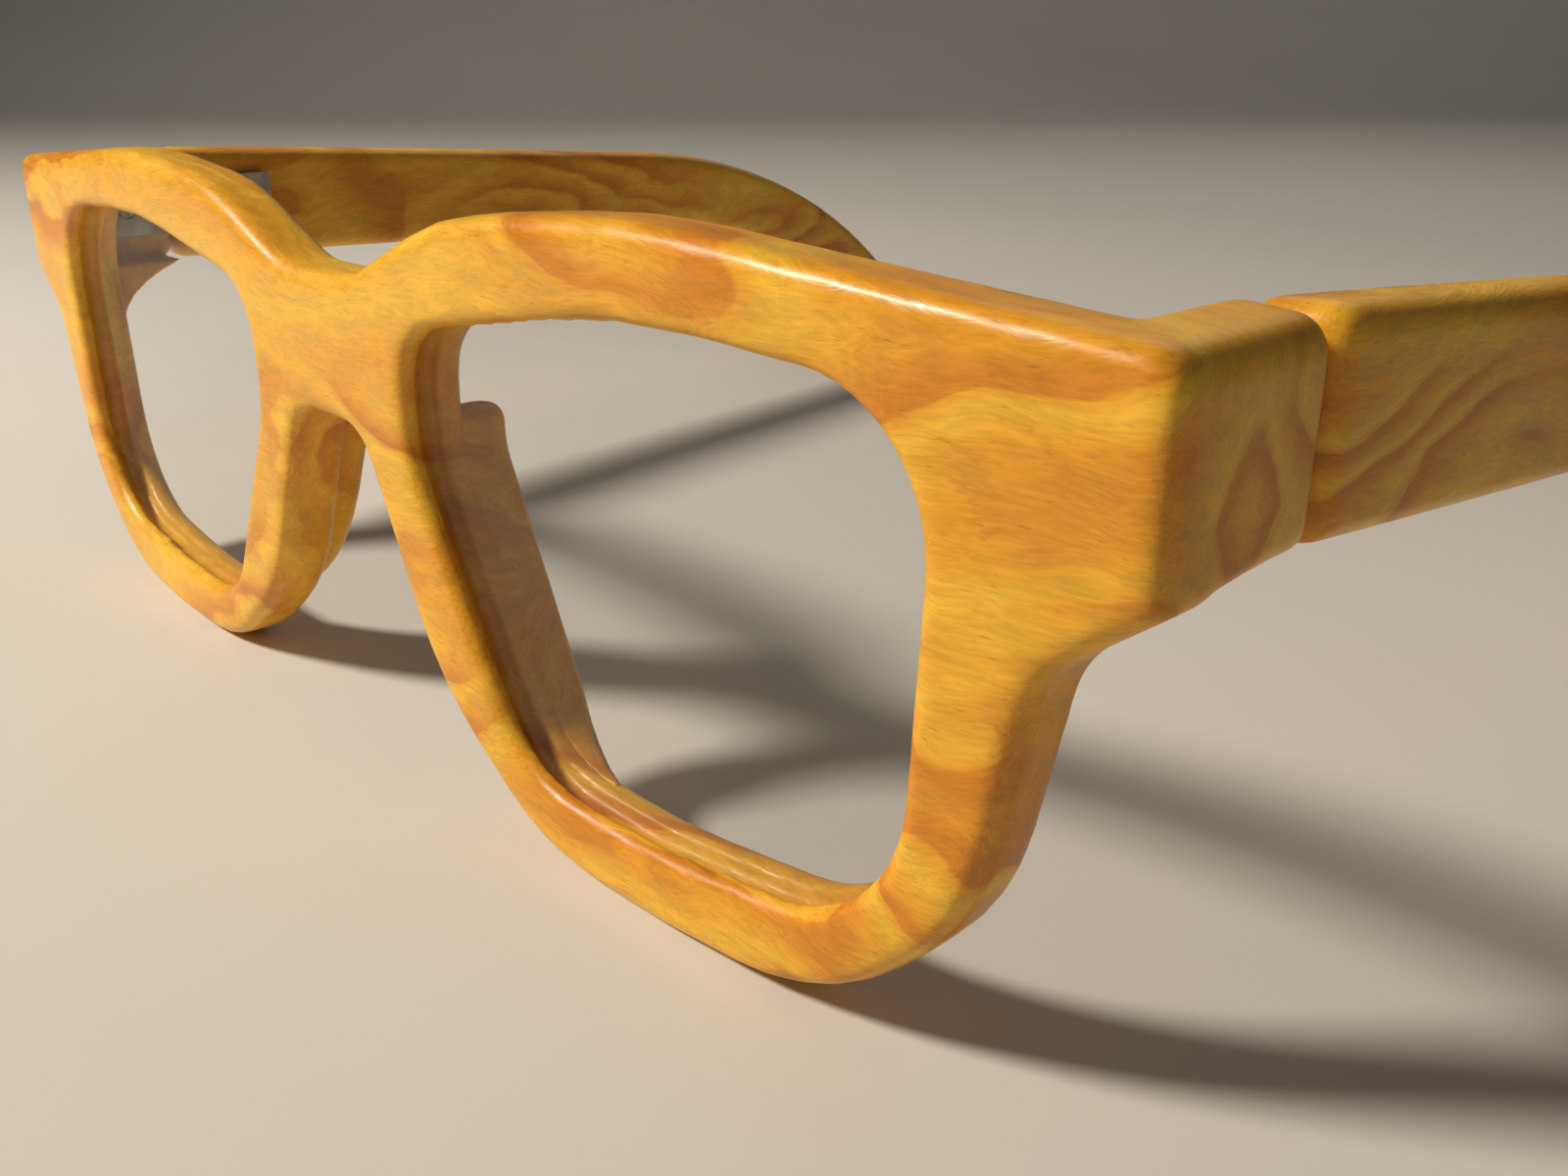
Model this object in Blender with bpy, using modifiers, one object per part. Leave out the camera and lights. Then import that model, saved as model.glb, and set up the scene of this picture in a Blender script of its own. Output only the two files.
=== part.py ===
"""Squared wooden spectacles standing open: solid wood front, two wooden temples, clear lenses, small steel hinges.

Metres, +Z up. +X is the wearer's left, the front faces -Y and the temples run towards +Y.
The rims and the temple tips rest on z = 0.
"""

import math

import bmesh
import bpy
from mathutils import Matrix, Vector

# ---- driving dimensions -------------------------------------------------------------------------
FRONT_WIDTH = 0.140
FRONT_HEIGHT = 0.0440
RIM_DEPTH = 0.0052  # front face to back face of a rim
SAG = 0.0024  # how far the ends of the front lie behind its middle
OPENING_WIDTH = 0.0455
OPENING_HEIGHT = 0.0330
BRIDGE_SPAN = 0.0240  # between the two openings
BRIDGE_HEIGHT = 0.0110
BRIDGE_TOP = 0.0375
RIM_WIDTH = 0.0055
REST_LENGTH = 0.0035  # half of the flat stretch under each rim
END_PIECE_HEIGHT = 0.0113
END_PIECE_DEPTH = 0.0132  # front face to the hinge joint
TEMPLE_THICKNESS = 0.0056
TEMPLE_HEIGHT = 0.0118
TEMPLE_STRAIGHT = 0.074  # hinge joint to the start of the ear bend
EAR_BEND_RADIUS = 0.092
EAR_BEND_TURN = math.radians(47.1)
TEMPLE_FALL = math.radians(3)  # how steeply the straight part runs down
TEMPLE_SPLAY = math.radians(6)
EDGE_ROUND = 0.0012
GAP = 0.0003  # between neighbouring pieces

ARC_STEP = math.radians(9)
HALF_WIDTH = FRONT_WIDTH / 2
OPENING_INNER = BRIDGE_SPAN / 2
OPENING_OUTER = OPENING_INNER + OPENING_WIDTH
OPENING_MID = OPENING_INNER + OPENING_WIDTH / 2
OPENING_BOTTOM = RIM_WIDTH - 0.0003
OPENING_TOP = OPENING_BOTTOM + OPENING_HEIGHT
BROW_TOP = FRONT_HEIGHT
BRIDGE_BOTTOM = BRIDGE_TOP - BRIDGE_HEIGHT
END_TOP = FRONT_HEIGHT - 0.0024
END_BOTTOM = END_TOP - END_PIECE_HEIGHT
DEEP = END_PIECE_DEPTH + 0.005  # behind every face of the front
SPLIT = OPENING_MID + 0.0017  # where the flat faces are parted, so that no opening makes a hole in one
SLICE = SPLIT / 8  # width of the flat strips that make up the front's curve

# ---- hinge dimensions ---------------------------------------------------------------------------
LEAF_THICKNESS = 0.0009
LEAF_HEIGHT = 0.0060
FRONT_LEAF_LENGTH = 0.0054
TEMPLE_LEAF_LENGTH = 0.0100
KNUCKLE_RADIUS = 0.0014
PIN_RADIUS = 0.00055
PIN_HEAD_RADIUS = 0.0010
PIN_HEAD_HEIGHT = 0.0006
SCREW_RADIUS = 0.00045
SCREW_HEAD_RADIUS = 0.0009
SCREW_HEAD_HEIGHT = 0.00045
SCREW_LENGTH = 0.0030
ROUND_STEPS = 20

# ---- lens groove and nose pads ------------------------------------------------------------------
GROOVE_MIDDLE = 0.0022  # behind the front face
GROOVE_WIDTH = 0.0016
GROOVE_DEPTH = 0.0011
LENS_THICKNESS = GROOVE_WIDTH - 2 * GAP
PAD_THICKNESS = 0.0034  # at its top
PAD_TAPER = 0.55  # how much of that is lost towards its lower end
PAD_ROUND = 0.0012


def sag(x):
    """How far the curved front lies behind its middle at this x."""
    return SAG * (x / HALF_WIDTH) ** 2


JOINT_Y = END_PIECE_DEPTH + sag(HALF_WIDTH - TEMPLE_THICKNESS / 2)
INNER_X = HALF_WIDTH - TEMPLE_THICKNESS  # inner faces of the end piece and of the temple
HINGE_X = INNER_X - GAP - KNUCKLE_RADIUS
HINGE_Y = JOINT_Y + GAP / 2
HINGE_Z = (END_TOP + END_BOTTOM) / 2


# ---- small helpers ------------------------------------------------------------------------------
def clear_scene():
    for obj in list(bpy.data.objects):
        bpy.data.objects.remove(obj)


def new_collection(name):
    collection = bpy.data.collections.new(name)
    bpy.context.scene.collection.children.link(collection)
    return collection


def material(name, colour, metallic, roughness, alpha=1.0):
    made = bpy.data.materials.new(name)
    made.use_nodes = True
    shader = made.node_tree.nodes["Principled BSDF"]
    shader.inputs["Base Color"].default_value = (*colour, 1.0)
    shader.inputs["Metallic"].default_value = metallic
    shader.inputs["Roughness"].default_value = roughness
    shader.inputs["Alpha"].default_value = alpha
    made.diffuse_color = (*colour, alpha)
    return made


def new_object(name, mesh, coat=None):
    obj = bpy.data.objects.new(name, mesh)
    PARTS.objects.link(obj)
    if coat:
        own = coat.copy()
        own.name = name
        mesh.materials.clear()
        mesh.materials.append(own)
    return obj


def rounded_loop(corners):
    """Points of a closed polygon whose corners (u, v, radius) are rounded with arcs. Radius 0 stays sharp."""
    points = []
    count = len(corners)
    for i, (u, v, radius) in enumerate(corners):
        here = Vector((u, v))
        if radius == 0:
            points.append(here)
            continue
        back = (Vector(corners[i - 1][:2]) - here).normalized()
        ahead = (Vector(corners[(i + 1) % count][:2]) - here).normalized()
        half = back.angle(ahead) / 2
        reach = radius / math.tan(half)
        centre = here + (back + ahead).normalized() * radius / math.sin(half)
        start = here + back * reach - centre
        turn = math.pi - 2 * half
        if back.x * ahead.y - back.y * ahead.x > 0:
            turn = -turn
        steps = max(2, math.ceil(abs(turn) / ARC_STEP))
        for step in range(steps + 1):
            points.append(centre + Matrix.Rotation(turn * step / steps, 2) @ start)
    return points


def mirrored_loop(half):
    """A closed loop from the corners of its +X half, listed from its lowest to its highest."""
    return rounded_loop(half + [(-u, v, radius) for u, v, radius in reversed(half)])


def grown_loop(points, amount):
    """The loop moved outwards by this amount along its own normals."""
    area = sum(a.x * b.y - b.x * a.y for a, b in zip(points, points[1:] + points[:1]))
    side = 1 if area > 0 else -1
    grown = []
    for i, here in enumerate(points):
        along = (points[(i + 1) % len(points)] - points[i - 1]).normalized()
        grown.append(here + Vector((along.y, -along.x)) * amount * side)
    return grown


def prism(loop, low, high, place):
    """A mesh that carries the loop from low to high. place(u, v, w) gives the point in space."""
    bm = bmesh.new()
    rings = [[bm.verts.new(place(p.x, p.y, w)) for p in loop] for w in (low, high)]
    bm.faces.new(rings[0])
    bm.faces.new(rings[1][::-1])
    for i in range(len(loop)):
        j = (i + 1) % len(loop)
        bm.faces.new((rings[0][j], rings[0][i], rings[1][i], rings[1][j]))
    bmesh.ops.recalc_face_normals(bm, faces=bm.faces)
    return finish(bm)


def finish(bm):
    mesh = bpy.data.meshes.new("mesh")
    bm.to_mesh(mesh)
    bm.free()
    return mesh


def from_front(u, v, w):
    """Places a loop drawn in the front view, with w as depth."""
    return (u, w, v)


def from_top(u, v, w):
    """Places a loop drawn in the top view, with w as height."""
    return (u, v, w)


def baked(obj):
    """Replaces the object's mesh by its evaluated one."""
    graph = bpy.context.evaluated_depsgraph_get()
    mesh = bpy.data.meshes.new_from_object(obj.evaluated_get(graph))
    obj.modifiers.clear()
    obj.data = mesh
    return obj


def merge_close(mesh, distance):
    bm = bmesh.new()
    bm.from_mesh(mesh)
    bmesh.ops.remove_doubles(bm, verts=bm.verts, dist=distance)
    bm.to_mesh(mesh)
    bm.free()


def slice_across(bm, places):
    """Cuts the faces where they cross each of these x."""
    for x in places:
        everything = bm.verts[:] + bm.edges[:] + bm.faces[:]
        bmesh.ops.bisect_plane(bm, geom=everything, plane_co=(x, 0, 0), plane_no=(1, 0, 0), dist=1e-6)


def combine(obj, mesh, operation):
    """Joins the mesh to the object, or cuts it away."""
    tool = bpy.data.objects.new("tool", mesh)
    bpy.context.scene.collection.objects.link(tool)
    modifier = obj.modifiers.new(operation, "BOOLEAN")
    modifier.operation = operation
    modifier.solver = "EXACT"
    modifier.object = tool
    baked(obj)
    bpy.data.objects.remove(tool)


def bevel(obj, width, segments):
    modifier = obj.modifiers.new("round", "BEVEL")
    modifier.width = width
    modifier.segments = segments
    modifier.limit_method = "ANGLE"
    modifier.angle_limit = math.radians(55)
    modifier.use_clamp_overlap = False
    baked(obj)


def slice_and_bend(mesh):
    """Cuts the mesh at even steps of x, then moves each point back by the sag of the front."""
    bm = bmesh.new()
    bm.from_mesh(mesh)
    bmesh.ops.triangulate(bm, faces=bm.faces[:])
    steps = int((HALF_WIDTH - 2 * EDGE_ROUND) / SLICE)
    slice_across(bm, [step * SLICE for step in range(-steps, steps + 1)])
    for vert in bm.verts:
        vert.co.y += sag(vert.co.x)
    bm.to_mesh(mesh)
    bm.free()


def smooth(mesh, angle=math.radians(30)):
    """Shades the mesh smooth, except over edges sharper than the angle."""
    bm = bmesh.new()
    bm.from_mesh(mesh)
    for face in bm.faces:
        face.smooth = True
    for edge in bm.edges:
        edge.smooth = len(edge.link_faces) == 2 and edge.calc_face_angle(0) < angle
    bm.to_mesh(mesh)
    bm.free()


def cylinder(radius, low, high, axis="Z"):
    """A closed round bar along the axis, from low to high."""
    bm = bmesh.new()
    middle = (low + high) / 2
    turn = Matrix.Rotation(math.pi / 2, 4, "Y") if axis == "X" else Matrix()
    bmesh.ops.create_cone(
        bm,
        cap_ends=True,
        segments=ROUND_STEPS,
        radius1=radius,
        radius2=radius,
        depth=high - low,
        matrix=turn @ Matrix.Translation((0, 0, middle)),
    )
    return finish(bm)


def mirrored(mesh):
    """A copy of the mesh on the other side of x = 0."""
    copy = mesh.copy()
    bm = bmesh.new()
    bm.from_mesh(copy)
    for vert in bm.verts:
        vert.co.x = -vert.co.x
    bmesh.ops.reverse_faces(bm, faces=bm.faces)
    bm.to_mesh(copy)
    bm.free()
    return copy


# ---- outlines in the front view -----------------------------------------------------------------
def front_outline():
    """The +X half of the front, from under the bridge round the rim and the end piece to its top."""
    arch_half = 0.0049
    return [
        (arch_half, BRIDGE_BOTTOM, 0.0040),
        (OPENING_INNER + 0.0010, 0.0088, 0.022),
        (OPENING_INNER + 0.0125, 0.0005, 0.016),
        (OPENING_MID - REST_LENGTH, 0.0, 0.030),
        (OPENING_MID + REST_LENGTH, 0.0, 0.030),
        (OPENING_OUTER - 0.0060, 0.0008, 0.019),
        (OPENING_OUTER + 0.0036, 0.0108, 0.016),
        (OPENING_OUTER + RIM_WIDTH + 0.0012, END_BOTTOM - 0.0044, 0.006),
        (HALF_WIDTH, END_BOTTOM, 0),
        (HALF_WIDTH, END_TOP, 0.0020),
        (OPENING_MID, BROW_TOP + 0.0002, 0.070),
        (OPENING_INNER + 0.0050, BROW_TOP - 0.0014, 0.025),
        (arch_half, BRIDGE_TOP, 0.0100),
    ]


def nasal_corners():
    """The corners of the +X lens opening beside the nose, from under the lens upwards."""
    return [
        (OPENING_INNER + 0.0112, OPENING_BOTTOM + 0.0004, 0.0085),
        (OPENING_INNER - 0.0002, OPENING_BOTTOM + 0.0205, 0.0100),
    ]


def opening_outline():
    """The +X lens opening."""
    return [
        (OPENING_INNER + 0.0002, OPENING_TOP - 0.0036, 0.0050),
        (OPENING_MID, OPENING_TOP + 0.0004, 0.060),
        (OPENING_OUTER + 0.0002, OPENING_TOP - 0.0008, 0.0085),
        (OPENING_OUTER - 0.0014, OPENING_BOTTOM + 0.0020, 0.0110),
        (OPENING_MID, OPENING_BOTTOM - 0.0002, 0.050),
        *nasal_corners(),
    ]


def opening_loop(grow=0.0):
    return grown_loop(rounded_loop(opening_outline()), grow)


# ---- the front ----------------------------------------------------------------------------------
def space_behind_rims():
    """What is cut from a deep front: all that lies behind the rims, but for the two end pieces."""
    wide = HALF_WIDTH + 0.005
    low = -0.005
    high = BROW_TOP + 0.005
    half = [(wide, low), (wide, END_BOTTOM), (INNER_X, END_BOTTOM), (INNER_X, high)]
    return prism(mirrored_loop([(u, v, 0) for u, v in half]), RIM_DEPTH, DEEP, from_front)


def build_front():
    """A deep plate, cut back to the rim depth everywhere but at the end pieces."""
    deep = prism(mirrored_loop(front_outline()), 0.0, END_PIECE_DEPTH, from_front)
    obj = new_object("front_frame", deep, WOOD)
    combine(obj, space_behind_rims(), "DIFFERENCE")
    bm = bmesh.new()
    bm.from_mesh(obj.data)
    slice_across(bm, (-SPLIT, 0.0, SPLIT))
    bm.to_mesh(obj.data)
    bm.free()
    for side in (1, -1):
        hole = prism(opening_loop(), -0.001, RIM_DEPTH + 0.001, from_front)
        combine(obj, hole if side > 0 else mirrored(hole), "DIFFERENCE")
    merge_close(obj.data, 2e-5)
    bevel(obj, EDGE_ROUND, 3)
    merge_close(obj.data, 1e-5)
    for side in (1, -1):
        groove = prism(
            opening_loop(GROOVE_DEPTH),
            GROOVE_MIDDLE - GROOVE_WIDTH / 2,
            GROOVE_MIDDLE + GROOVE_WIDTH / 2,
            from_front,
        )
        combine(obj, groove if side > 0 else mirrored(groove), "DIFFERENCE")
    slice_and_bend(obj.data)
    smooth(obj.data)
    return obj


# ---- lenses and nose pads -----------------------------------------------------------------------
def build_lens(name, side):
    """A clear plate held in the groove, bent like the front."""
    loop = opening_loop(GROOVE_DEPTH - GAP)
    half = LENS_THICKNESS / 2
    mesh = prism(loop, GROOVE_MIDDLE - half, GROOVE_MIDDLE + half, from_front)
    obj = new_object(name, mesh if side > 0 else mirrored(mesh), CLEAR)
    slice_and_bend(obj.data)
    smooth(obj.data)


def pad_outline():
    """The +X nose pad, a long strip along the edge of the opening, from beside the bridge to under the lens."""
    top = OPENING_BOTTOM + 0.0234
    nose_side = OPENING_INNER - 0.0054
    end = OPENING_INNER + 0.0182
    under, beside = nasal_corners()
    return [
        (nose_side, top - 0.0006, 0.0022),
        (OPENING_INNER + 0.0020, 0.0095, 0.020),
        (end - 0.0008, 0.0017, 0.0014),
        (end, OPENING_BOTTOM + 0.0002, 0.0014),
        under,
        (*beside[:2], 0.0050),
        (OPENING_INNER - 0.0001, top, 0.0014),
    ]


def build_pad(name, side):
    """A wooden pad glued behind the nasal rim. It thins downwards and its back edges are rounded."""
    outline = rounded_loop(pad_outline())
    top = max(point.y for point in outline)
    levels = [(0.0, 0.0)]
    for inward, shrink in reversed(round_off(PAD_ROUND)):
        levels.append((PAD_THICKNESS - inward, shrink))
    rings = []
    for level, shrink in levels:
        ring = []
        for p in grown_loop(outline, -shrink):
            back = level * (1.0 - PAD_TAPER * (1.0 - p.y / top))
            ring.append(Vector((p.x, RIM_DEPTH + GAP + back + sag(p.x), p.y)))
        rings.append(ring)
    mesh = loft(rings)
    obj = new_object(name, mesh if side > 0 else mirrored(mesh), WOOD)
    bm = bmesh.new()
    bm.from_mesh(obj.data)
    bmesh.ops.triangulate(bm, faces=bm.faces[:])
    bm.to_mesh(obj.data)
    bm.free()
    smooth(obj.data)


# ---- temples ------------------------------------------------------------------------------------
def temple_path():
    """(y from the joint, z from the hinge height, downward angle) along the temple's middle line."""
    path = []
    straight_steps = 8
    for step in range(straight_steps + 1):
        along = TEMPLE_STRAIGHT * step / straight_steps
        path.append((along, -along * math.tan(TEMPLE_FALL), TEMPLE_FALL))
    y0, z0, _ = path[-1]
    bend_steps = 16
    for step in range(1, bend_steps + 1):
        angle = TEMPLE_FALL + (EAR_BEND_TURN - TEMPLE_FALL) * step / bend_steps
        y = y0 + EAR_BEND_RADIUS * (math.sin(angle) - math.sin(TEMPLE_FALL))
        z = z0 - EAR_BEND_RADIUS * (math.cos(TEMPLE_FALL) - math.cos(angle))
        path.append((y, z, angle))
    return path


def temple_size(part):
    """(thickness, height) of the temple at this part of its length, from 0 at the joint to 1 at the tip."""
    waist = math.sin(math.pi * part) ** 2
    height = TEMPLE_HEIGHT * (1.0 - 0.14 * waist - 0.08 * part)
    thickness = TEMPLE_THICKNESS * (1.0 - 0.25 * part)
    return thickness, height


def section(thickness, height, edge):
    """A rounded rectangle, flat on the outer side x = 0 and as thick as given towards -X."""
    corners = [
        (0.0, -height / 2, edge),
        (0.0, height / 2, edge),
        (-thickness, height / 2, edge),
        (-thickness, -height / 2, edge),
    ]
    return rounded_loop(corners)


def temple_rings():
    """The temple's sections in order, each a list of points, with rounded ends."""
    path = temple_path()
    total = len(path) - 1
    rings = []
    for index, (y, z, angle) in enumerate(path):
        thickness, height = temple_size(index / total)
        edge = min(EDGE_ROUND + 0.0004, thickness * 0.4)
        down = Vector((0, math.cos(angle), -math.sin(angle)))
        up = Vector((0, math.sin(angle), math.cos(angle)))
        ends = [(0.0, 0.0)]
        if index == 0:
            ends = round_off(EDGE_ROUND)
        if index == total:
            ends = [(-y_in, shrink) for y_in, shrink in reversed(round_off(edge * 1.6))]
        for inward, shrink in ends:
            loop = section(thickness - 2 * shrink, height - 2 * shrink, max(edge - shrink, 0.0002))
            middle = Vector((-shrink, y, z)) + down * inward
            rings.append([middle + Vector((p.x, 0, 0)) + up * p.y for p in loop])
    return rings


def round_off(radius):
    """(distance into the piece, how far its outline is drawn in) of an edge rounding, from the end face in."""
    steps = 3
    found = []
    for step in range(steps + 1):
        angle = math.pi / 2 * step / steps
        found.append((radius * (1 - math.cos(angle)), radius * (1 - math.sin(angle))))
    return found


def loft(rings):
    """A closed mesh through rings that all have the same number of points."""
    bm = bmesh.new()
    placed = [[bm.verts.new(p) for p in ring] for ring in rings]
    for low, high in zip(placed, placed[1:]):
        for i in range(len(low)):
            j = (i + 1) % len(low)
            bm.faces.new((low[i], low[j], high[j], high[i]))
    bm.faces.new(placed[0][::-1])
    bm.faces.new(placed[-1])
    bmesh.ops.recalc_face_normals(bm, faces=bm.faces)
    return finish(bm)


def splayed(mesh, side):
    """The mesh turned outwards about the hinge axis, which lies at its own origin."""
    mesh.transform(Matrix.Rotation(-TEMPLE_SPLAY, 4, "Z"))
    return mesh if side > 0 else mirrored(mesh)


def build_temple(name, side):
    """The temple runs outwards by the splay, while its end face stays along the back of the end piece."""
    mesh = loft(temple_rings())
    mesh.transform(Matrix.Translation((HALF_WIDTH - HINGE_X, JOINT_Y + GAP - HINGE_Y, 0)))
    slant = Matrix()
    slant[0][1] = math.tan(TEMPLE_SPLAY)
    slant[1][0] = 2 * SAG * INNER_X / HALF_WIDTH**2
    mesh.transform(slant)
    obj = new_object(name, mesh if side > 0 else mirrored(mesh), WOOD)
    obj.location = (side * HINGE_X, HINGE_Y, HINGE_Z)
    bpy.context.view_layer.update()
    for y in temple_screw_places():
        hole = cylinder(SCREW_RADIUS + GAP / 2, -0.0002, SCREW_LENGTH + GAP, "X")
        hole.transform(Matrix.Translation((INNER_X - HINGE_X - GAP, y, 0)))
        hole = splayed(hole, side)
        hole.transform(obj.matrix_world)
        combine(obj, hole, "DIFFERENCE")
    smooth(obj.data)


# ---- hinges -------------------------------------------------------------------------------------
def knuckle_span(part):
    """(low, high) of a knuckle: 0 and 2 belong to the front leaf, 1 to the temple leaf."""
    pitch = LEAF_HEIGHT / 3
    low = -LEAF_HEIGHT / 2 + part * pitch
    return low + GAP / 2, low + pitch - GAP / 2


def front_screw_places():
    """y of the front leaf's screws from the hinge axis."""
    return (-0.0026, -0.0052)


def temple_screw_places():
    """y of the temple leaf's screws from the hinge axis."""
    return (0.0042, 0.0088)


def leaf(length, direction, knuckles):
    """A hinge leaf about its axis at the origin: a plate along y and the knuckles it carries."""
    plate_x = INNER_X - HINGE_X - GAP - LEAF_THICKNESS / 2
    near = KNUCKLE_RADIUS + GAP
    bm = bmesh.new()
    bmesh.ops.create_cube(bm, size=1.0)
    scale = Matrix.Diagonal((LEAF_THICKNESS, length, LEAF_HEIGHT - GAP, 1.0))
    place = Matrix.Translation((plate_x, direction * (near + length / 2), 0))
    bmesh.ops.transform(bm, matrix=place @ scale, verts=bm.verts)
    plate = bpy.data.objects.new("leaf", finish(bm))
    bpy.context.scene.collection.objects.link(plate)
    for knuckle in knuckles:
        low, high = knuckle_span(knuckle)
        web = [
            Vector((0.0, 0.0)),
            Vector((plate_x + LEAF_THICKNESS / 2 - 0.00002, 0.0)),
            Vector((plate_x + LEAF_THICKNESS / 2 - 0.00002, direction * (near + 0.0008))),
            Vector((plate_x - LEAF_THICKNESS / 2 + 0.00002, direction * (near + 0.0008))),
        ]
        combine(plate, prism(web, low, high, from_top), "UNION")
        combine(plate, cylinder(KNUCKLE_RADIUS, low, high), "UNION")
    bore = cylinder(PIN_RADIUS + GAP / 2, -LEAF_HEIGHT, LEAF_HEIGHT)
    combine(plate, bore, "DIFFERENCE")
    mesh = plate.data
    bpy.data.objects.remove(plate)
    return mesh


def drill_leaf(mesh, places):
    """The leaf with a countersink for each screw head and a hole for its shank."""
    obj = bpy.data.objects.new("leaf", mesh)
    bpy.context.scene.collection.objects.link(obj)
    inner = INNER_X - HINGE_X - GAP - LEAF_THICKNESS
    for y in places:
        shank = cylinder(SCREW_RADIUS + GAP / 2, -0.001, LEAF_THICKNESS + 0.001, "X")
        head = cylinder(SCREW_HEAD_RADIUS + GAP / 2, -0.001, SCREW_HEAD_HEIGHT, "X")
        for tool in (shank, head):
            tool.transform(Matrix.Translation((inner, y, 0)))
            combine(obj, tool, "DIFFERENCE")
    drilled = obj.data
    bpy.data.objects.remove(obj)
    return drilled


def screw(y):
    """A leaf screw along +X at this y from the hinge axis, with a slot across its head."""
    face = INNER_X - HINGE_X - GAP - LEAF_THICKNESS
    head_low, head_high = -0.0001, SCREW_HEAD_HEIGHT - GAP / 2
    head = bpy.data.objects.new("screw", cylinder(SCREW_HEAD_RADIUS, head_low, head_high, "X"))
    bpy.context.scene.collection.objects.link(head)
    combine(head, cylinder(SCREW_RADIUS, 0.0001, SCREW_LENGTH, "X"), "UNION")
    combine(head, slot_cutter(head_low, SCREW_HEAD_RADIUS, "X"), "DIFFERENCE")
    mesh = head.data
    bpy.data.objects.remove(head)
    mesh.transform(Matrix.Translation((face, y, 0)))
    return mesh


def slot_cutter(face, radius, axis):
    """The bar that cuts a screwdriver slot into a head whose face is at this place on the axis."""
    width = radius * 0.28
    depth = 0.00022
    bm = bmesh.new()
    bmesh.ops.create_cube(bm, size=1.0)
    sizes = (2 * depth, width, 3 * radius, 1.0) if axis == "X" else (3 * radius, width, 2 * depth, 1.0)
    place = (face, 0, 0) if axis == "X" else (0, 0, face)
    matrix = Matrix.Translation(place) @ Matrix.Diagonal(sizes)
    bmesh.ops.transform(bm, matrix=matrix, verts=bm.verts)
    return finish(bm)


def pin():
    """The hinge screw along the axis, its head above the top knuckle."""
    top = LEAF_HEIGHT / 2 + GAP / 2
    head = bpy.data.objects.new("pin", cylinder(PIN_HEAD_RADIUS, top, top + PIN_HEAD_HEIGHT))
    bpy.context.scene.collection.objects.link(head)
    combine(head, cylinder(PIN_RADIUS, -LEAF_HEIGHT / 2, top + 0.0002), "UNION")
    combine(head, slot_cutter(top + PIN_HEAD_HEIGHT, PIN_HEAD_RADIUS, "Z"), "DIFFERENCE")
    mesh = head.data
    bpy.data.objects.remove(head)
    return mesh


def build_hinge(label, side):
    """One hinge with its pin and leaf screws. Each piece has its origin on the hinge axis."""
    place = (side * HINGE_X, HINGE_Y, HINGE_Z)
    pieces = {
        "hinge_front_leaf": drill_leaf(leaf(FRONT_LEAF_LENGTH, -1, (0, 2)), front_screw_places()),
        "hinge_pin": pin(),
    }
    for index, y in enumerate(front_screw_places(), 1):
        pieces[f"front_leaf_screw_{index}"] = screw(y)
    for name, mesh in pieces.items():
        mesh = mesh if side > 0 else mirrored(mesh)
        new_object(f"{name}_{label}", mesh, STEEL).location = place
    moving = {
        "hinge_temple_leaf": drill_leaf(leaf(TEMPLE_LEAF_LENGTH, 1, (1,)), temple_screw_places())
    }
    for index, y in enumerate(temple_screw_places(), 1):
        moving[f"temple_leaf_screw_{index}"] = screw(y)
    for name, mesh in moving.items():
        new_object(f"{name}_{label}", splayed(mesh, side), STEEL).location = place


def drill_front(side):
    """Holes in the end piece for the front leaf's screws."""
    front = bpy.data.objects["front_frame"]
    for y in front_screw_places():
        hole = cylinder(SCREW_RADIUS + GAP / 2, -0.0002, SCREW_LENGTH + GAP, "X")
        hole.transform(Matrix.Translation((INNER_X - GAP, HINGE_Y + y, HINGE_Z)))
        combine(front, hole if side > 0 else mirrored(hole), "DIFFERENCE")


def centre_depth():
    """Moves everything so that the origin is halfway between the front and the temple tips."""
    bpy.context.view_layer.update()
    depths = [(obj.matrix_world @ v.co).y for obj in PARTS.objects for v in obj.data.vertices]
    for obj in PARTS.objects:
        obj.location.y -= (min(depths) + max(depths)) / 2


# ---- assembly -----------------------------------------------------------------------------------
clear_scene()
PARTS = new_collection("wooden_spectacles")
WOOD = material("wood", (0.62, 0.33, 0.10), 0.0, 0.45)
CLEAR = material("clear", (0.90, 0.93, 0.92), 0.0, 0.05, 0.35)
STEEL = material("steel", (0.60, 0.60, 0.58), 1.0, 0.35)

build_front()
for label, side in (("left", 1), ("right", -1)):
    drill_front(side)
    build_lens(f"lens_{label}", side)
    build_pad(f"nose_pad_{label}", side)
    build_temple(f"temple_{label}", side)
    build_hinge(label, side)
smooth(bpy.data.objects["front_frame"].data)
centre_depth()
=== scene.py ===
"""Looks for the wooden spectacles: oiled olive wood, clear lenses and brushed steel hinges.

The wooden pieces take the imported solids' shapes, rubbed down to smooth carved surfaces.
Metres, +Z up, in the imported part's own frame: the front faces -Y and +X is the wearer's left.
"""

import math

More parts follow.
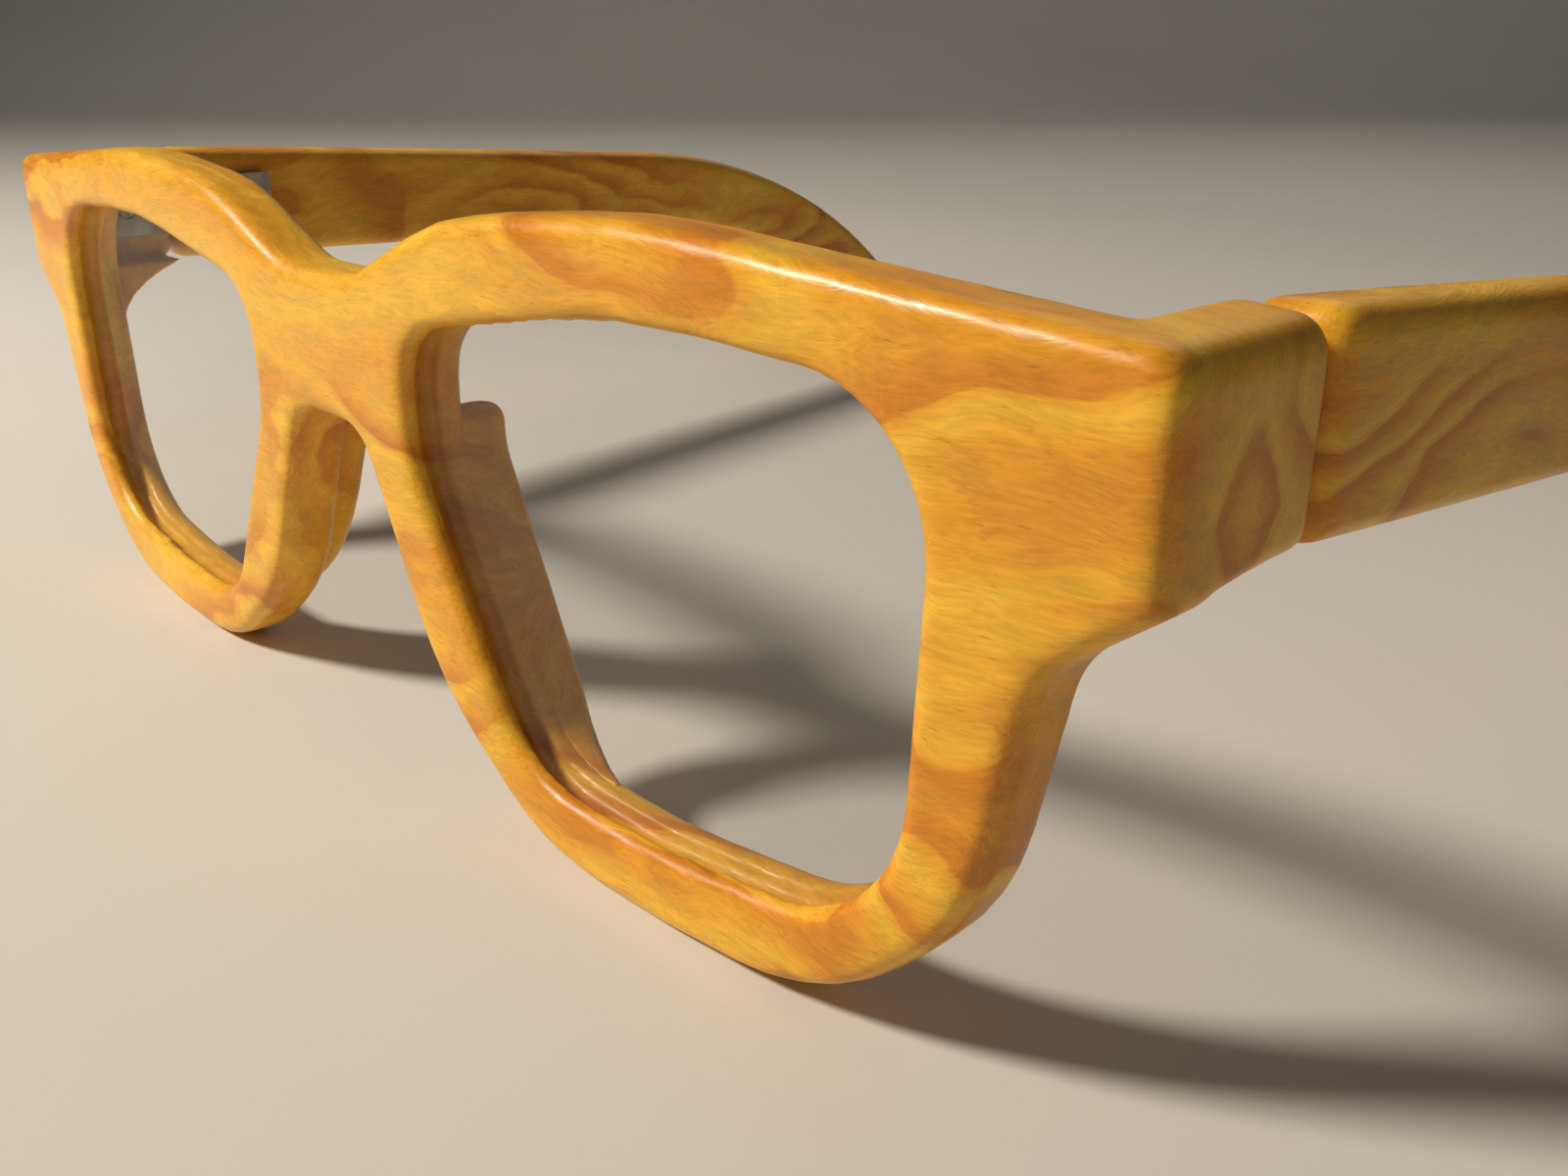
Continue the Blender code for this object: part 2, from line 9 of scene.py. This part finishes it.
import bmesh
import bpy
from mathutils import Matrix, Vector


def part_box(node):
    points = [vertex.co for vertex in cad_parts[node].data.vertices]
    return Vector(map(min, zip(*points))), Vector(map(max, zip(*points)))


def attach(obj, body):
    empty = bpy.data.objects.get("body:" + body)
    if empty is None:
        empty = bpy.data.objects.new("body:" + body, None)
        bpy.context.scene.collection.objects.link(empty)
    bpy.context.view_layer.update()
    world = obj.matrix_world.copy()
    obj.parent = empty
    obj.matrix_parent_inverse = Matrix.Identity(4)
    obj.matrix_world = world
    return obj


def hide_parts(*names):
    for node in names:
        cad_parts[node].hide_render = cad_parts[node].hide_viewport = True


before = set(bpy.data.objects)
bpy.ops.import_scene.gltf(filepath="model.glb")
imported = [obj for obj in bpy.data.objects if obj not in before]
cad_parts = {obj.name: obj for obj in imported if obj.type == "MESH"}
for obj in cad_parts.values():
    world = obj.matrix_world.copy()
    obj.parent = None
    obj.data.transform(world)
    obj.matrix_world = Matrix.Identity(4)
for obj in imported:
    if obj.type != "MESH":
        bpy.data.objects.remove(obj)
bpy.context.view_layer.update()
FRONT_LOW, FRONT_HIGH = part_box("front_frame")

# ---- surfaces -----------------------------------------------------------------------------------
VOXEL = 0.00034  # grid of the carved surfaces
SANDING = 8  # rounds of smoothing on that grid
METAL_EDGE = 0.00007  # broken edge on hinge parts
WELD = 1e-6  # points closer than this are one point

# ---- nose pads ----------------------------------------------------------------------------------
PAD_FOOT = 0.0006  # depth of the pad's front face, which bends with the front
PAD_SINK = 0.0016  # how far the foot is let into the rim
PAD_RUN_OUT = 0.0090  # length over which the lower end runs out into the rim

# ---- hollows under the end pieces, by distance from the middle of the front ---------------------
HOLLOW_INNER = 0.0600
HOLLOW_OUTER = 0.0675  # at the top
HOLLOW_DRAW = 0.0045  # how far the outer side comes in towards the bottom
HOLLOW_HEIGHT = 0.0085
HOLLOW_TOP = FRONT_LOW.z + 0.0306  # just inside the end piece
HOLLOW_FRONT = FRONT_LOW.y + 0.0041  # inside the rim
RIM_BACK = FRONT_LOW.y + 0.0071  # just inside the rim's back face beside the end piece
END_BACK = FRONT_HIGH.y - 0.0012
HOLLOW_STEPS = 8

# ---- camera -------------------------------------------------------------------------------------
CAMERA_BEARING = math.radians(46.5)  # turned from +Y towards -X
CAMERA_FALL = math.radians(21.2)
CAMERA_PLACE = (0.0988, FRONT_LOW.y - 0.0463, 0.0531)
CAMERA_NEAR = 0.002
LENS_MM = 32.6
SENSOR_MM = 36.0

# ---- floor: flat, then curved up into a wall ----------------------------------------------------
FLOOR_FRONT = 1.5
FLOOR_BACK = 0.9
FLOOR_HALF_WIDTH = 3.0
FLOOR_CURVE = 0.5
WALL_TOP = 2.0
CURVE_STEPS = 12

# ---- lights: name, place from the middle of the front, width, watts, colour ---------------------
FRONT_MIDDLE = Vector((0.0, FRONT_LOW.y, 0.03))
LIGHTS = (
    ("key", (-0.36, -0.42, 0.47), 0.14, 6.2, (1.0, 0.91, 0.76)),
    ("fill", (0.65, -0.35, 0.42), 0.80, 0.05, (1.0, 0.94, 0.86)),
    ("back", (-0.25, 0.678, 0.57), 0.60, 0.45, (1.0, 0.95, 0.88)),
)
WORLD_COLOUR = (1.0, 0.95, 0.88, 1.0)
WORLD_STRENGTH = 0.07

# ---- colours ------------------------------------------------------------------------------------
HONEY = (0.84, 0.375, 0.022)
PALE = (0.92, 0.52, 0.042)
AMBER = (0.69, 0.245, 0.013)
BROWN = (0.30, 0.080, 0.008)


# ---- material helpers ---------------------------------------------------------------------------
class Shade:
    """A material being built. Inputs are values or other nodes' sockets, by name or by number (i0, i1)."""

    def __init__(self, name):
        self.material = bpy.data.materials.new(name)
        self.material.use_nodes = True
        self.tree = self.material.node_tree
        self.surface = self.tree.nodes["Principled BSDF"]

    def add(self, kind, settings=None, **inputs):
        node = self.tree.nodes.new(kind)
        for key, value in (settings or {}).items():
            setattr(node, key, value)
        for key, value in inputs.items():
            self.put(node, key, value)
        return node

    def put(self, node, key, value):
        socket = node.inputs[int(key[1:])] if key[1:].isdigit() else node.inputs[key.replace("_", " ")]
        if isinstance(value, bpy.types.NodeSocket):
            self.tree.links.new(value, socket)
        else:
            socket.default_value = value

    def math(self, operation, a, b=0.0):
        return self.add("ShaderNodeMath", {"operation": operation}, i0=a, i1=b).outputs[0]

    def place(self, scale, shift=(0, 0, 0), turn=0.0, vector=None):
        """The vector, or object coordinates if none is given, scaled along each axis."""
        if vector is None:
            vector = self.add("ShaderNodeTexCoord").outputs["Object"]
        mapping = self.add("ShaderNodeMapping", Vector=vector, Location=shift, Scale=scale)
        mapping.inputs["Rotation"].default_value = (0, 0, turn)
        return mapping.outputs[0]

    def noise(self, vector, detail, roughness=0.5):
        return self.add(
            "ShaderNodeTexNoise", Vector=vector, Scale=1.0, Detail=detail, Roughness=roughness
        )

    def ramp(self, factor, stops):
        """Colours blended between stops of (position, colour)."""
        node = self.add("ShaderNodeValToRGB", Fac=factor)
        elements = node.color_ramp.elements
        while len(elements) < len(stops):
            elements.new(0.5)
        for element, (position, colour) in zip(elements, stops):
            element.position = position
            element.color = (*colour, 1.0)
        return node.outputs[0]

    def spread(self, value, low, high, to_low=0.0, to_high=1.0):
        """The value carried from one range to another, clamped."""
        node = self.add("ShaderNodeMapRange", Value=value)
        for key, number in zip((1, 2, 3, 4), (low, high, to_low, to_high)):
            node.inputs[key].default_value = number
        return node.outputs[0]

    def mix(self, factor, a, b, blend="MIX"):
        node = self.add("ShaderNodeMix", {"data_type": "RGBA", "blend_type": blend})
        for key, value in ((0, factor), (6, a), (7, b)):
            if isinstance(value, tuple):
                value = (*value, 1.0)
            self.put(node, f"i{key}", value)
        return node.outputs[2]

    def finish(self, **inputs):
        """Sets the surface's own inputs and hands over the material."""
        for key, value in inputs.items():
            self.put(self.surface, key, value)
        return self.material


# ---- materials ----------------------------------------------------------------------------------
def olive_wood(name, along, shift):
    """Oiled olive wood: patchy amber figure with one sharp edge, silky fibres and fine flecks.

    along is the grain's direction, X or Y. shift moves the figure, so that no two pieces share it.
    """
    shade = Shade(name)
    turn = math.radians(90) if along == "Y" else 0.0
    base = shade.place((1, 1, 1), shift, turn)

    # the grain wavers
    waver = shade.noise(shade.place((40, 80, 80), vector=base), detail=3.0)
    push = {"operation": "SCALE"}
    offset = shade.add("ShaderNodeVectorMath", push, i0=waver.outputs["Color"], Scale=0.010)
    summed = shade.add("ShaderNodeVectorMath", {"operation": "ADD"}, i0=base, i1=offset.outputs[0])
    bent = summed.outputs[0]

    # growth bands, soft on one side and sharp on the other, show in patches
    growth = shade.noise(shade.place((22, 66, 66), vector=bent), detail=1.0, roughness=0.4)
    bands = shade.math("FRACT", shade.math("MULTIPLY", growth.outputs["Fac"], 8.0))
    figure = shade.ramp(
        bands, [(0.0, AMBER), (0.16, AMBER), (0.45, HONEY), (0.78, PALE), (0.965, HONEY), (1.0, AMBER)]
    )
    patches = shade.noise(shade.place((26, 60, 60), (3, 1, 2), vector=bent), detail=1.5)
    patchy = shade.spread(patches.outputs["Fac"], 0.40, 0.56)
    calm = shade.ramp(growth.outputs["Fac"], [(0.30, HONEY), (0.50, PALE), (0.68, HONEY)])
    wood = shade.mix(patchy, calm, figure)

    # amber stains
    stain = shade.noise(shade.place((34, 110, 110), (7, 4, 5), vector=bent), detail=3.0)
    stained = shade.spread(stain.outputs["Fac"], 0.58, 0.67, 0.0, 0.36)
    wood = shade.mix(stained, wood, AMBER)

    # fibres, fine and coarse
    silk = shade.noise(shade.place((330, 5200, 5200), vector=bent), detail=2.0, roughness=0.6)
    ripple = shade.noise(shade.place((260, 900, 900), (1, 2, 3), vector=bent), detail=3.0, roughness=0.6)
    grain = shade.math("ADD", silk.outputs["Fac"], ripple.outputs["Fac"])
    silky = shade.spread(grain, 0.75, 1.25, 0.84, 1.14)
    grey = shade.add("ShaderNodeCombineColor", i0=silky, i1=silky, i2=silky)
    wood = shade.mix(1.0, wood, grey.outputs[0], "MULTIPLY")

    # short dark pores
    fleck = shade.noise(shade.place((800, 6500, 6500), vector=base), detail=1.0)
    pores = shade.spread(fleck.outputs["Fac"], 0.67, 0.77, 0.0, 0.35)
    wood = shade.mix(pores, wood, BROWN)

    # an oiled sheen, with fibres and pores that can be felt
    rough = shade.spread(grain, 0.75, 1.25, 0.30, 0.46)
    height = shade.math("SUBTRACT", grain, shade.math("MULTIPLY", pores, 0.8))
    bump = shade.add("ShaderNodeBump", Height=height, Strength=0.35, Distance=0.00005)
    return shade.finish(
        Base_Color=wood,
        Roughness=rough,
        Normal=bump.outputs[0],
        Coat_Weight=0.10,
        Coat_Roughness=0.18,
        Specular_IOR_Level=0.35,
    )


def clear_lens(name):
    """A clear, nearly invisible plate with faint smears."""
    shade = Shade(name)
    smear = shade.noise(shade.place((60, 60, 140)), detail=3.0)
    rough = shade.spread(smear.outputs["Fac"], 0.4, 0.7, 0.015, 0.06)
    tint = shade.ramp(smear.outputs["Fac"], [(0.35, (0.20, 0.22, 0.21)), (0.65, (0.14, 0.16, 0.15))])
    return shade.finish(Base_Color=tint, Roughness=rough, Alpha=0.10, IOR=1.5)


def brushed_steel(name, bright):
    """Steel with fine scratches along the leaf and slightly worn patches. bright scales its colour."""
    shade = Shade(name)
    scratch = shade.noise(shade.place((3000, 260, 9000)), detail=2.0)
    wear = shade.noise(shade.place((500, 500, 500)), detail=3.0)
    light = tuple(bright * c for c in (0.50, 0.49, 0.46))
    dull = tuple(bright * c for c in (0.32, 0.31, 0.29))
    colour = shade.ramp(wear.outputs["Fac"], [(0.35, dull), (0.65, light)])
    rough = shade.spread(scratch.outputs["Fac"], 0.3, 0.7, 0.24, 0.46)
    bump = shade.add("ShaderNodeBump", Height=scratch.outputs["Fac"], Strength=0.2, Distance=0.00003)
    return shade.finish(Base_Color=colour, Roughness=rough, Metallic=1.0, Normal=bump.outputs[0])


def pale_floor(name):
    """Matt pale paper with faint clouds."""
    shade = Shade(name)
    cloud = shade.noise(shade.place((6, 6, 6)), detail=3.0)
    colour = shade.ramp(cloud.outputs["Fac"], [(0.3, (0.70, 0.68, 0.65)), (0.7, (0.74, 0.72, 0.69))])
    return shade.finish(Base_Color=colour, Roughness=0.75)


# ---- pieces -------------------------------------------------------------------------------------
def welded_copy(name, node):
    """A new object with the CAD node's shape and its split edges joined."""
    bm = bmesh.new()
    bm.from_mesh(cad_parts[node].data)
    bmesh.ops.remove_doubles(bm, verts=bm.verts, dist=WELD)
    mesh = bpy.data.meshes.new(name)
    bm.to_mesh(mesh)
    bm.free()
    piece = bpy.data.objects.new(name, mesh)
    bpy.context.scene.collection.objects.link(piece)
    return piece


def add_hollows(piece):
    """Fills the corner under each end piece with a concave sweep down to the back of the rim."""
    bm = bmesh.new()
    bm.from_mesh(piece.data)
    for side in (1, -1):
        rings = []
        for step in range(HOLLOW_STEPS + 1):
            part = step / HOLLOW_STEPS
            z = HOLLOW_TOP - HOLLOW_HEIGHT * part
            back = RIM_BACK + (END_BACK - RIM_BACK) * (1 - part) ** 3
            outer = HOLLOW_OUTER - HOLLOW_DRAW * math.sin(math.pi / 2 * min(1.0, 1.6 * part))
            corners = (
                (HOLLOW_INNER, HOLLOW_FRONT),
                (outer, HOLLOW_FRONT),
                (outer, back),
                (HOLLOW_INNER, back),
            )
            rings.append([bm.verts.new((side * x, y, z)) for x, y in corners])
        made = [bm.faces.new(rings[0]), bm.faces.new(rings[-1])]
        for upper, lower in zip(rings, rings[1:]):
            for i in range(4):
                j = (i + 1) % 4
                made.append(bm.faces.new((upper[i], upper[j], lower[j], lower[i])))
        bmesh.ops.recalc_face_normals(bm, faces=made)
    bm.to_mesh(piece.data)
    bm.free()


def let_into_rim(piece, node):
    """Moves a nose pad's foot into the rim and lets the pad's lower end run out into the rim."""
    low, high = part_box(node)
    foot = low.y + PAD_FOOT
    end = max(abs(low.x), abs(high.x))
    for vert in piece.data.vertices:
        if vert.co.y < foot:
            vert.co.y -= PAD_SINK
        else:
            kept = min(1.0, (end - abs(vert.co.x)) / PAD_RUN_OUT)
            vert.co.y = foot + (vert.co.y - foot) * kept - PAD_SINK * (1.0 - kept)


def apply_modifiers(piece):
    """Replaces the piece's mesh by what its modifiers make of it."""
    graph = bpy.context.evaluated_depsgraph_get()
    mesh = bpy.data.meshes.new_from_object(piece.evaluated_get(graph))
    piece.modifiers.clear()
    piece.data = mesh


def carve(piece):
    """Rebuilds the piece on a fine even grid and rubs its facets and edges smooth."""
    remesh = piece.modifiers.new("grid", "REMESH")
    remesh.mode = "VOXEL"
    remesh.voxel_size = VOXEL
    remesh.use_smooth_shade = True
    sand = piece.modifiers.new("sand", "SMOOTH")
    sand.factor = 0.5
    sand.iterations = SANDING
    apply_modifiers(piece)
    for face in piece.data.polygons:
        face.use_smooth = True


def wooden_piece(name, node, body, material):
    """A carved piece that stands for the CAD node."""
    piece = welded_copy(name, node)
    if node.startswith("nose_pad"):
        let_into_rim(piece, node)
    if node == "front_frame":
        add_hollows(piece)
    carve(piece)
    piece.data.materials.clear()
    piece.data.materials.append(material)
    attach(piece, body)
    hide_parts(node)


def metal_piece(node, material):
    """A CAD node in metal with its sharp edges broken."""
    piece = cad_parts[node]
    weld = piece.modifiers.new("weld", "WELD")
    weld.merge_threshold = WELD
    edge = piece.modifiers.new("edge", "BEVEL")
    edge.width = METAL_EDGE
    edge.segments = 2
    edge.limit_method = "ANGLE"
    edge.angle_limit = math.radians(40)
    edge.harden_normals = True
    for slot in piece.material_slots:
        slot.material = material


def build_pieces():
    """Wood on the front, pads and temples, glass on the lenses and steel on every part of the hinges."""
    front_wood = olive_wood("front_wood", "X", (0.31, 0.12, 0.05))
    wooden_piece("front_wooden", "front_frame", "front", front_wood)
    steel = brushed_steel("hinge_steel", 1.0)
    screw_steel = brushed_steel("screw_steel", 1.15)
    clear = clear_lens("lens_clear")
    for number, side in enumerate(("left", "right")):
        temple_wood = olive_wood(f"temple_wood_{side}", "Y", (0.2 + 0.4 * number, 0.7, 0.3))
        wooden_piece(f"pad_wooden_{side}", f"nose_pad_{side}", "front", front_wood)
        wooden_piece(
            f"temple_wooden_{side}", f"temple_{side}", f"{side}_arm", temple_wood
        )
        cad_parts[f"lens_{side}"].material_slots[0].material = clear
        for node in (f"hinge_front_leaf_{side}", f"hinge_temple_leaf_{side}"):
            metal_piece(node, steel)
        metal_piece(f"hinge_pin_{side}", screw_steel)
        for leaf in ("front", "temple"):
            for place in (1, 2):
                metal_piece(f"{leaf}_leaf_screw_{place}_{side}", screw_steel)


# ---- stage --------------------------------------------------------------------------------------
def build_stage():
    """A pale floor that curves up into a wall behind the part, square to the camera."""
    profile = [(-FLOOR_FRONT, 0.0), (FLOOR_BACK, 0.0)]
    for step in range(1, CURVE_STEPS + 1):
        angle = math.pi / 2 * step / CURVE_STEPS
        y = FLOOR_BACK + FLOOR_CURVE * math.sin(angle)
        profile.append((y, FLOOR_CURVE * (1 - math.cos(angle))))
    profile.append((FLOOR_BACK + FLOOR_CURVE, WALL_TOP))
    bm = bmesh.new()
    rows = []
    for x in (-FLOOR_HALF_WIDTH, FLOOR_HALF_WIDTH):
        rows.append([bm.verts.new((x, y, z)) for y, z in profile])
    for i in range(len(profile) - 1):
        face = bm.faces.new((rows[0][i], rows[1][i], rows[1][i + 1], rows[0][i + 1]))
        face.smooth = True
    mesh = bpy.data.meshes.new("floor")
    bm.to_mesh(mesh)
    bm.free()
    mesh.materials.append(pale_floor("floor"))
    floor = bpy.data.objects.new("floor", mesh)
    floor.rotation_euler.z = CAMERA_BEARING
    bpy.context.scene.collection.objects.link(floor)


def area_light(name, offset, width, watts, colour):
    """A round soft light that shines at the middle of the front from this offset."""
    data = bpy.data.lights.new(name, "AREA")
    data.shape = "DISK"
    data.size = width
    data.energy = watts
    data.color = colour
    light = bpy.data.objects.new(name, data)
    light.location = FRONT_MIDDLE + Vector(offset)
    light.rotation_euler = (-Vector(offset)).to_track_quat("-Z", "Y").to_euler()
    bpy.context.scene.collection.objects.link(light)


def build_lights():
    for light in LIGHTS:
        area_light(*light)
    world = bpy.data.worlds.new("studio")
    world.use_nodes = True
    background = world.node_tree.nodes["Background"]
    background.inputs["Color"].default_value = WORLD_COLOUR
    background.inputs["Strength"].default_value = WORLD_STRENGTH
    bpy.context.scene.world = world
    bpy.context.scene.view_settings.view_transform = "Standard"


def build_camera():
    data = bpy.data.cameras.new("camera")
    data.lens = LENS_MM
    data.sensor_width = SENSOR_MM
    data.clip_start = CAMERA_NEAR
    camera = bpy.data.objects.new("camera", data)
    camera.location = CAMERA_PLACE
    camera.rotation_euler = (math.pi / 2 - CAMERA_FALL, 0.0, CAMERA_BEARING)
    bpy.context.scene.collection.objects.link(camera)
    bpy.context.scene.camera = camera


# ---- the scene ----------------------------------------------------------------------------------
build_pieces()
build_stage()
build_lights()
build_camera()
